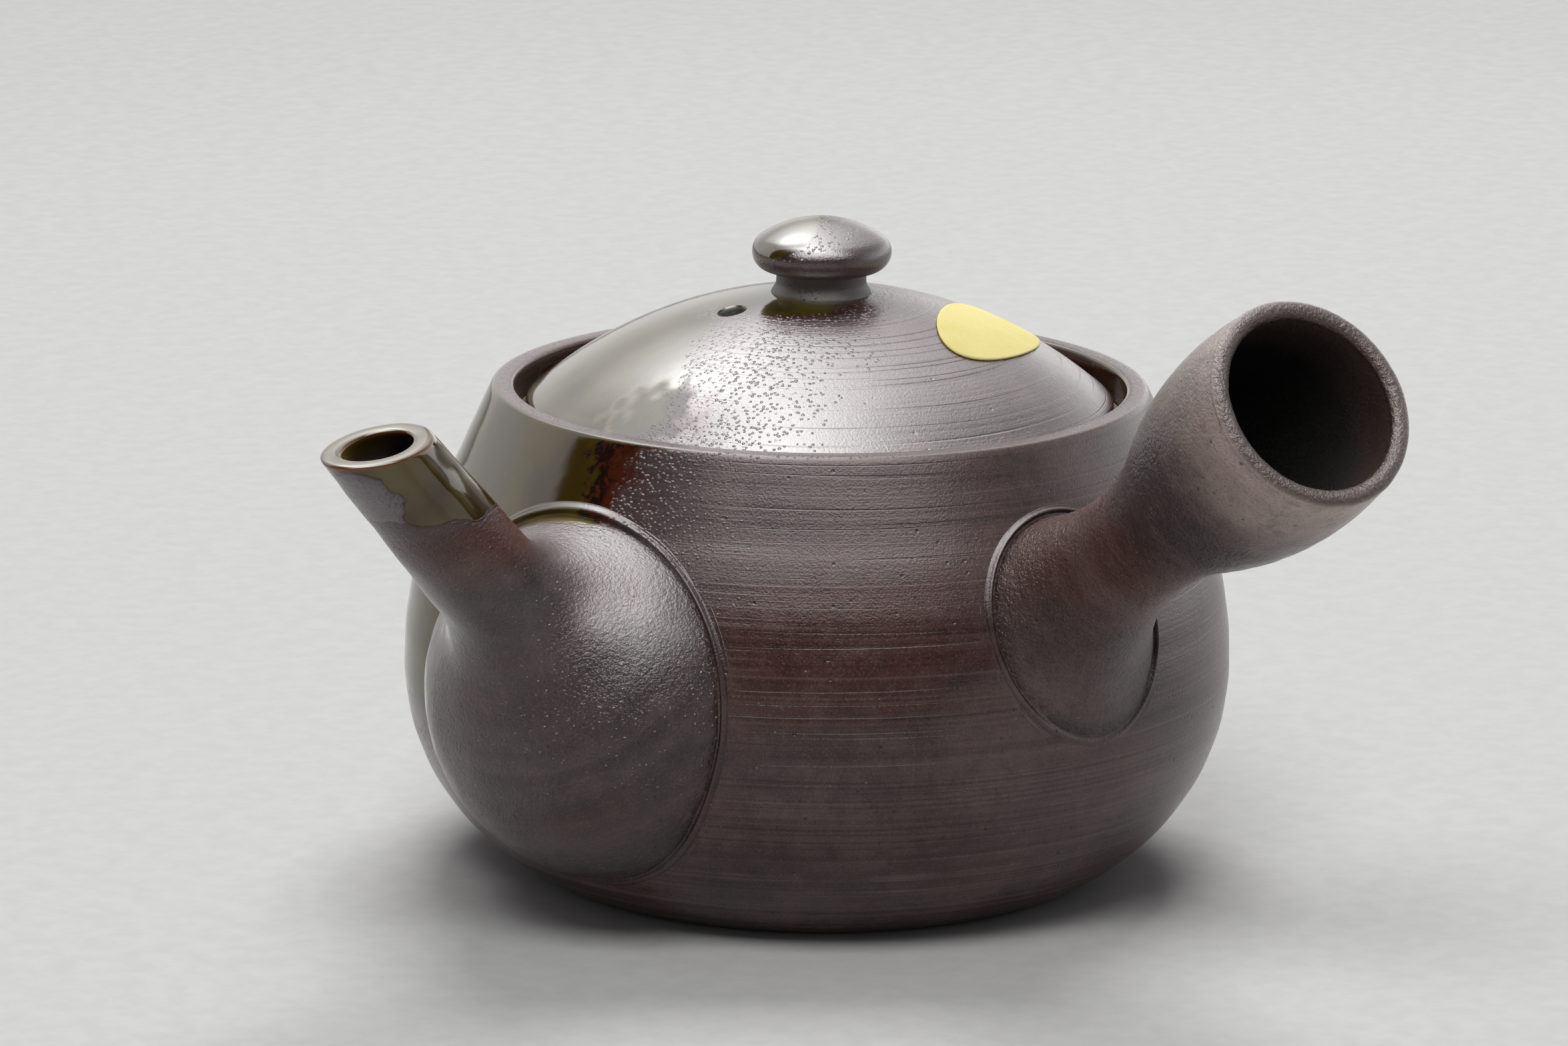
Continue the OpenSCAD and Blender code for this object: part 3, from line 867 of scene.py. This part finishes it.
spout_clay = stoneware(
    "spout_clay", light=(62, 46, 47), dark=(40, 28, 29), lines=tube_lines, depth=0.010, hide=0.20,
    stains=[(rusty_crease, (92, 40, 16), 0.9), (milky_patch, (118, 110, 115), 0.75),
            (drip_line, (36, 28, 28), 0.6), (seam_stain, (36, 20, 17), 0.9)], ash=tip_ash,
    trims=[(lip_top, (104, 90, 54), 0.6), (lip_edge, (104, 54, 22), 0.8)], gloss=0.6)
spout_node = spout_clay.node_tree.nodes["Principled BSDF"]
spout_up = Shade(spout_clay.node_tree).metres().parts()[2]
bulb_sheen = spout_up.fade(0.038, 0.050) * spout_up.fade(0.060, 0.054) * 0.45
feed(spout_node, {"Coat Weight": bulb_sheen, "Coat Roughness": 0.32, "Coat IOR": 1.6})
spout_piece.data.materials.append(spout_clay)
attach(spout_piece, "pot")
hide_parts("spout")


# The luting bands, soft slip pressed with a tool into the corner where the spout and the handle meet the
# pot. Each has a rubbed, rounded bead along the seam, and outside it the fine ridges that the tool left.
bead_rise = 0.62
bead_place = 0.58
bead_inside = 0.30
bead_outside = 0.48
ridge_places = (1.30, 1.85)
ridge_width = 0.16
score_places = (0.25, 1.15)
score_widths = (0.16, 0.14)
score_shares = (1.0, 0.8)
band_sink = 0.10
band_thickness = 0.7
lute_steps = np.linspace(-2.0, 2.5, 54)


def lute_rings(seam, pot_side, form_side, ridge_rise, seed):
    """Section carried along a closed seam. It runs from the luted form's wall through the corner, over a
    bell-shaped bead on the pot's wall that is low at the bottom of the seam and wide where ash glass melted,
    and over two thin bells, the tool's ridges, which come and go along the seam. Its two edges and its back
    are sunk in the clay."""
    forward = np.roll(seam, -1, axis=0) - np.roll(seam, 1, axis=0)
    forward /= np.linalg.norm(forward, axis=-1)[:, None]
    out = np.cross(pot_side, forward)
    out *= np.sign((out * (seam - seam.mean(axis=0))).sum())
    climb = np.cross(form_side, forward)
    climb *= np.sign((climb * pot_side).sum())
    step = lute_steps[:, None, None]
    on_pot = eased(step, -0.7, 0.7)
    lift = on_pot * pot_side + (1 - on_pot) * form_side
    lift /= np.linalg.norm(lift, axis=-1)[..., None]
    level = (seam[:, 2] - seam[:, 2].min()) / np.ptp(seam[:, 2])
    low = (1 - eased(level, 0.0, 0.4))[:, None]
    press = 1 - 0.55 * low + 0.12 * uneven(seam, 12.0, seed)[:, None]
    melted = eased(pot_side @ flame, 0.58, 0.70)[:, None]
    width = np.where(step < bead_place, bead_inside * (1 + 0.8 * low), bead_outside) * (1 + melted)
    rise = bead_rise * press * (1 + 0.5 * melted) * bell(step, bead_place, width) - band_sink
    for k, place in enumerate(ridge_places):
        shows = np.clip(0.5 + uneven(seam, 16.0, seed + 1 + k), 0, 1)[:, None]
        wander = place + 0.2 * uneven(seam, 20.0, seed + 4 + k)[:, None]
        rise = rise + ridge_rise * (1 - melted) * shows * bell(step, wander, ridge_width)
    rise = rise - 0.3 * eased(np.abs(step - 0.25), 1.75, 2.1)
    bed = seam + wall_dent(seam)[:, None] * pot_side
    top = bed + np.maximum(step, 0) * out + np.maximum(-step, 0) * climb + rise * lift
    return np.concatenate([top, (top - band_thickness * lift)[::-6]])


def pot_normal(points):
    """Outward unit normal of the pot's wall, from the slope of its radius with height."""
    slope = (pot_radius(points[:, 2] + 0.05) - pot_radius(points[:, 2] - 0.05)) / 0.1
    spread = np.hypot(points[:, 0], points[:, 1])
    normal = np.stack([points[:, 0] / spread, points[:, 1] / spread, -slope], axis=-1)
    return normal / np.linalg.norm(normal, axis=-1)[:, None]


def form_normal(form, along, turn):
    """Outward unit normal of a form's wall, from its slopes along and round its axis."""
    ahead = form(along + 0.05, turn) - form(along - 0.05, turn)
    beside = form(along, turn + 0.01) - form(along, turn - 0.01)
    normal = np.cross(ahead, beside)
    return normal / np.linalg.norm(normal, axis=-1)[:, None]


def lute(name, form, span, ridge_rise, seed):
    """The luting band along the seam of a form with the pot, riding on the pot. Dark lines lie scored beside
    its bead, each a bell over the steps of the section."""
    turn = round_turns(400)
    along = meets_pot(form, turn, span, 0.0)
    seam = form(along, turn)
    rings = lute_rings(seam, pot_normal(seam), form_normal(form, along, turn), ridge_rise, seed)
    band = skin(name, rings, None, True)
    lines = zip(score_places, score_widths, score_shares)
    score = sum(share * bell(lute_steps, place, width) for place, width, share in lines)
    store_rings(band, "seam", len(turn), np.clip(score, 0, 1), np.zeros(len(rings) - len(score)))
    store(band.data, "fire", pot_normal(points_of(band.data)) @ flame)
    band.data.materials.append(slip_clay)
    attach(band, "pot")
    return band


slip_clay = stoneware(
    "slip_clay", light=(84, 67, 66), dark=(60, 46, 46), lines=level_lines, depth=0.006, hide=0.03,
    stains=[(seam_stain, (24, 14, 13), 0.95)], ash=fire_ash)
spout_bead = lute("spout_bead", spout_points, spout_span, ridge_rise=0.17, seed=21)
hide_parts("spout_lute")


# The handle, thrown as a hollow trumpet with a narrow waist and a swelling at its open end, cut to the
# pot's wall and luted on. Its mouth has a thick rounded lip.
handle_turn = math.radians(70.8)
handle_rise = math.radians(34.9)
handle_offset = 6.2
handle_axis_height = 10.5
waist_at = 82.7
waist_radius = 8.2
waist_arc = 46.0
swell_at = 119.5
swell_radius = 14.8
handle_end = 128.9
handle_wall = 2.2
handle_span = (40.0, 90.0)
handle_lip_width = 1.12
handle_level = np.array([math.cos(handle_turn), math.sin(handle_turn), 0.0])
handle_side = np.array([-math.sin(handle_turn), math.cos(handle_turn), 0.0])
handle_line = handle_level * math.cos(handle_rise) + np.array([0, 0, math.sin(handle_rise)])
handle_top = np.cross(handle_line, handle_side)
handle_foot = handle_side * handle_offset + np.array([0, 0, handle_axis_height])
arc_step = swell_radius - waist_radius
arc_reach = (arc_step ** 2 + (swell_at - waist_at) ** 2) / (2 * arc_step)
swell_arc = arc_reach - waist_arc
arc_join = waist_at + (swell_at - waist_at) * waist_arc / arc_reach


def handle_radius(along, inset=0.0):
    """Radius of the handle at a distance along its axis: a hollow arc about the waist that runs, at a common
    tangent, into a full arc about the swelling."""
    waist_rise = np.sqrt((waist_arc + inset) ** 2 - (along - waist_at) ** 2)
    swell_rise = np.sqrt(np.maximum((swell_arc - inset) ** 2 - (along - swell_at) ** 2, 0))
    hollow = waist_radius + waist_arc - waist_rise
    full = swell_radius - swell_arc + swell_rise
    return np.where(along < arc_join, hollow, full)


def handle_points(along, turn, inset=0.0):
    """Points of the handle's wall, at their radius from its axis."""
    spoke = around(handle_top, handle_side, turn)
    return handle_foot + along[..., None] * handle_line + handle_radius(along, inset)[..., None] * spoke


def handle_inner(along, turn):
    """Points of the handle's inner wall."""
    return handle_points(along, turn, handle_wall)


def handle_lines(x, y, z):
    """Lines turned round the handle: they lie across its axis."""
    return x * float(handle_line[0]) + y * float(handle_line[1]) + z * float(handle_line[2])


def flare_painted_light(x, y, z):
    """The flared end of the handle, painted paler than its waist: painted light from the floor's bounce."""
    return frayed(handle_lines(x, y, z), x, y, z, 15.0, 16).fade(118.0, 138.0)


def waist_painted_shade(x, y, z):
    """The band past the waist, painted darker: painted shade."""
    along = frayed(handle_lines(x, y, z), x, y, z, 12.0, 18)
    return along.fade(93.0, 110.0) * along.fade(131.0, 116.0)


def rusty_root(x, y, z):
    """The crease over the handle's root where rust gathered."""
    return oval(x, y, z, spot=(23.0, 61.0, 58.5), wide=14.0, high=8.0, soft=0.6)


def brown_lip(x, y, z):
    """The lip of the handle and the wall inside it, which stayed a dark pinkish brown."""
    return x.stored("lip").fade(0.2, 0.9)


handle_spin = round_turns(200)
handle_root = meets_pot(handle_points, handle_spin, handle_span, outer_sink)
handle_well = meets_pot(handle_inner, handle_spin, handle_span, inner_sink)
handle_round = handle_wall / 2
outer_rows = np.linspace(handle_root, handle_end - handle_round, 150)
inner_rows = np.linspace(handle_end - handle_round, handle_well, 80)
outer_wall = handle_points(outer_rows, handle_spin + 0 * outer_rows)
inner_wall = handle_inner(inner_rows, handle_spin + 0 * inner_rows)
lip_swing = np.cos(bend) * handle_lip_width
lip_lift = np.sin(bend)[:, None] * handle_round * handle_line
handle_rings = with_lip(outer_wall, inner_wall, lip_swing, lip_lift)
sag = 0.16 * (uneven(handle_rings, 17.0, 12) - 1) + 0.05 * (uneven(handle_rings, 4.0, 13) - 1)
handle_piece = skin("handle_body", pushed(handle_rings, handle_foot, handle_line, sag), None, True)
on_outer = np.zeros(len(outer_wall))
on_lip = np.where(bend < math.pi / 2, np.sin(bend), 1)
on_inner = np.ones(len(inner_wall))
# The well's wall is painted dark deeper in, stored as hollow: painted shade.
well_depth = np.clip(np.linspace(0.0, 6, len(inner_wall)), 0, 1)
store_rings(handle_piece, "lip", len(handle_spin), on_outer, on_lip, on_inner)
store_rings(handle_piece, "hollow", len(handle_spin), on_outer, 0 * on_lip, well_depth)
store(handle_piece.data, "seam", eased(pot_depth(points_of(handle_piece.data)), 1.0, 0.1))
# The darker band past the waist is painted shade, and the paler flare painted light from the floor's bounce.
handle_clay = stoneware(
    "handle_clay", light=(92, 73, 70), dark=(60, 45, 43), lines=handle_lines, depth=0.010, hide=0.30,
    stains=[(waist_painted_shade, (42, 29, 29), 0.85), (flare_painted_light, (196, 176, 166), 0.9),
            (rusty_root, (80, 40, 26), 0.8), (seam_stain, (36, 22, 18), 0.9)],
    trims=[(brown_lip, (52, 35, 30), 0.85)], gloss=0.5)
handle_piece.data.materials.append(handle_clay)
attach(handle_piece, "pot")
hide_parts("handle")
handle_bead = lute("handle_bead", handle_points, handle_span, ridge_rise=0.14, seed=51)
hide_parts("handle_lute")


# The lid, thrown as a shallow dome with a flange underneath that hangs in the ledge's bore. It lies loose on
# the ledge inside the rim and has one small steam hole, pierced from above while the clay was wet.
lid_radius = gallery_radius - 1.6
lid_edge_height = ledge_height + 2.6
lid_edge = 0.34
dome_rise = 15.0
dome_wall = 2.8
dome_radius = (lid_radius ** 2 + dome_rise ** 2) / (2 * dome_rise)
dome_top = lid_edge_height + dome_rise
dome_middle = np.array([0, 0, dome_top - dome_radius])
flange_radius = ledge_bore - 0.8
flange_wall = 2.6
flange_low = ledge_height - 6.0
lid_pole_gap = 0.4
lid_swell_size = 21.0
lid_swell_depth = 0.07
steam_radius = 1.75
steam_out = 13.8
steam_turn = math.radians(-21)
scorch_middle = (35.5, -0.5, 67.5)
scorch_radius = 7.5


def dome_height(radius, thickness=0.0):
    """Height of the dome's sphere, thinned by a thickness, at a distance from the axis."""
    return dome_middle[2] + np.sqrt((dome_radius - thickness) ** 2 - radius ** 2)


def lid_right_darkening(x, y, z):
    """The lid's edge away from the fire, on the camera's right, painted darker."""
    return frayed(to_left(x, y, z), x, y, z, 8.0, 14, 4.0, 0.6).fade(-24.0, -34.0)


inner_radius = np.linspace(lid_pole_gap, flange_radius - flange_wall, 160)
outer_radius = np.linspace(lid_radius, lid_pole_gap, 260)
under = np.stack([inner_radius, dome_height(inner_radius, dome_wall)], axis=-1)
over = np.stack([outer_radius, dome_height(outer_radius)], axis=-1)
skirt = [(flange_radius - flange_wall, flange_low), (flange_radius, flange_low)]
seat = [(flange_radius, ledge_height), (lid_radius, ledge_height)]
lid_line = softened(np.concatenate([under, skirt, seat, over]), lid_edge, 230)
over_ledge = lid_line[:, 0] > flange_radius + 0.5
lid_line[:, 1] = np.where(over_ledge, np.maximum(lid_line[:, 1], ledge_height), lid_line[:, 1])
lid_rings = thrown(lid_line, 320)
swell = lid_swell_depth * (uneven(lid_rings, lid_swell_size, 31) - 1)
lid_rings[..., 2] += np.where(lid_rings[..., 2] > lid_edge_height + 1, swell, 0)
lid_poles = [(0, 0, dome_height(0, dome_wall)), (0, 0, dome_top - 0.05)]
lid_piece = skin("lid_dome", lid_rings, lid_poles)
steam_lean = math.asin(steam_out / dome_radius)
steam_level = np.array([math.cos(steam_turn), math.sin(steam_turn), 0.0])
steam_up = math.sin(steam_lean) * steam_level + (0, 0, math.cos(steam_lean))
steam_side = np.array([-math.sin(steam_turn), math.cos(steam_turn), 0.0])
steam_middle = steam_up * dome_radius + dome_middle
# The hole's outline: how much its radius flares, at each reach along its axis from the dome's face.
steam_flare = np.array([0, 0, 0.07, 0.25, 0.60, 0.60])
steam_reach = np.array([-9.0, -0.75, -0.45, -0.15, 0.15, 3.0])
steam_ring = around(np.cross(steam_side, steam_up), steam_side, round_turns(48))
steam_ends = steam_middle + steam_reach[:, None] * steam_up
steam_rings = (steam_radius + steam_flare)[:, None, None] * steam_ring + steam_ends[:, None]
bored(lid_piece, skin("steam_hole", steam_rings, steam_ends[[0, -1]]))
lid_points = points_of(lid_piece.data)
dome_normals = (lid_points - dome_middle) / dome_radius
lid_outside = np.linalg.norm(lid_points - dome_middle, axis=-1) > dome_radius - 0.8
lid_spread = np.hypot(lid_points[:, 0], lid_points[:, 1])
lid_fire = dome_normals @ flame - 0.05 + 0.19 * eased(lid_spread, 15, 10)
store(lid_piece.data, "fire", np.where(lid_outside, lid_fire, 0.1))
# The steam hole's wall is painted dark, stored as hollow: painted shade. The scorch is the lid's own patch.
steam_offset = lid_points - steam_middle
steam_off_axis = np.linalg.norm(steam_offset - (steam_offset @ steam_up)[:, None] * steam_up, axis=-1)
steam_well = eased(steam_offset @ steam_up, -0.1, -0.4) * (steam_off_axis < 2.3)
scorch_far = np.linalg.norm(lid_points - scorch_middle, axis=-1) / scorch_radius
scorch = 0.8 * lid_outside * eased(scorch_far + 0.35 * uneven(lid_points, 3.0, 33), 1.2, 0.6)
store(lid_piece.data, "hollow", np.maximum(steam_well, scorch))
lid_clay = stoneware(
    "lid_clay", light=(88, 71, 71), dark=(66, 52, 53), lines=ring_lines, depth=0.085, hide=0.02,
    stains=[(lid_right_darkening, (54, 30, 32), 0.85)], ash=fire_ash, rust=0.5, gloss=1.0)
lid_piece.data.materials.append(lid_clay)
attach(lid_piece, "lid")
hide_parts("lid")


# The knob, a flattened button on a short neck, thrown on top of the lid. Its underside is undercut for the
# fingertips, and ash glass covers the side towards the fire.
knob_radius = 9.5
knob_edge = 2.5
knob_crown = 4.6
knob_height = dome_top + 5.15
knob_foot = dome_top - 1.2
knob_soft = 0.30
knob_pole_gap = 0.3
neck_radius = 6.1
neck_foot_radius = 6.8
edge_centre = knob_radius - knob_edge
crown_radius = (edge_centre ** 2 + knob_crown ** 2 - knob_edge ** 2) / (2 * (knob_crown - knob_edge))
crown_centre = knob_height + knob_crown - crown_radius
crown_tangent = edge_centre * crown_radius / (crown_radius - knob_edge)
round_end = math.acos((crown_tangent - edge_centre) / knob_edge)
round_turn = np.linspace(-math.pi / 2, round_end, 60)
crown_out = np.linspace(crown_tangent, knob_pole_gap, 60)
foot_line = [(knob_pole_gap, knob_foot), (neck_foot_radius, knob_foot), (neck_foot_radius, dome_top - 0.25)]
neck_line = [(neck_radius, dome_top + 0.8), (neck_radius, knob_height - knob_edge)]
round_out = edge_centre + knob_edge * np.cos(round_turn)
round_line = np.stack([round_out, knob_height + knob_edge * np.sin(round_turn)], axis=-1)
crown_line = np.stack([crown_out, crown_centre + np.sqrt(crown_radius ** 2 - crown_out ** 2)], axis=-1)
knob_line = softened(np.concatenate([foot_line, neck_line, round_line, crown_line]), knob_soft, 150)
knob_rings = thrown(knob_line, 180)
knob_rings[..., :2] *= (1 + 0.010 * (uneven(knob_rings, 9.0, 41) - 1))[..., None]
knob_piece = skin("knob_button", knob_rings, [(0, 0, knob_foot), (0, 0, knob_line[-1, 1])])
# The neck under the button is painted dark and dull, stored as hollow: painted shade.
neck_depth = knob_height - points_of(knob_piece.data)[:, 2]
store(knob_piece.data, "hollow", 0.7 * eased(neck_depth, 1.4, 2.4))
store(knob_piece.data, "fire", normals_of(knob_piece.data) @ flame + 0.11)
knob_clay = stoneware(
    "knob_clay", light=(84, 68, 68), dark=(62, 48, 49), lines=ring_lines, depth=0.03, hide=0.02,
    ash=fire_ash, rust=0.3, gloss=1.0)
knob_piece.data.materials.append(knob_clay)
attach(knob_piece, "lid")
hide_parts("knob")


# The label, a small oval of thin pale yellow paper, stuck on the dome beside the knob and left blank. It
# bends with the dome, and its fibres and faint stains show.
label_half_length = 15.5
label_half_width = 6.7
label_thickness = 0.2
label_gap = 0.02
label_out = 22.9
label_turn = math.radians(125)
label_lean = math.radians(-11.5)
label_polar = math.asin(label_out / dome_radius)
label_shares = np.linspace(0.04, 1, 26)
label_rank = np.concatenate([label_shares, label_shares[::-1]])[:, None]
label_lift = np.repeat([label_gap, label_thickness], len(label_shares))[:, None]
label_spin = round_turns(128)[None, :]
label_wide = label_rank * label_half_width * np.cos(label_spin)
label_long = label_rank * label_half_length * np.sin(label_spin)
label_up = np.sqrt((dome_radius + label_lift) ** 2 - label_wide ** 2 - label_long ** 2)
label_flat = np.stack([label_wide, label_long, label_up], axis=-1)
placing = Matrix.Rotation(label_turn, 3, "Z") @ Matrix.Rotation(label_polar, 3, "Y")
placing = np.array(placing @ Matrix.Rotation(label_lean, 3, "Z")).T
label_poles = np.array([(0, 0, dome_radius + label_gap), (0, 0, dome_radius + label_thickness)])
label_piece = skin("paper_label", label_flat @ placing + dome_middle, label_poles @ placing + dome_middle)
label_paper, label_node, shade = surface("label_paper")
place = shade.metres()
fibres = place.noise(0.0006, 4.0, 0.65)
stain = place.noise(0.009, 3.0)
label_tint = stain.fade(0.35, 0.65).tint(tone(224, 211, 136), tone(231, 219, 150))
label_tint = (fibres.fade(0.45, 0.75) * 0.35).tint(label_tint, tone(212, 196, 120))
label_bump = shade.node("ShaderNodeBump", {}, {"Strength": 0.5, "Distance": 0.00005, "Height": fibres})
feed(label_node, {"Base Color": label_tint, "Normal": label_bump})
feed(label_node, {"Roughness": 0.6, "Specular IOR Level": 0.2})
label_piece.data.materials.append(label_paper)
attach(label_piece, "lid")
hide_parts("label")
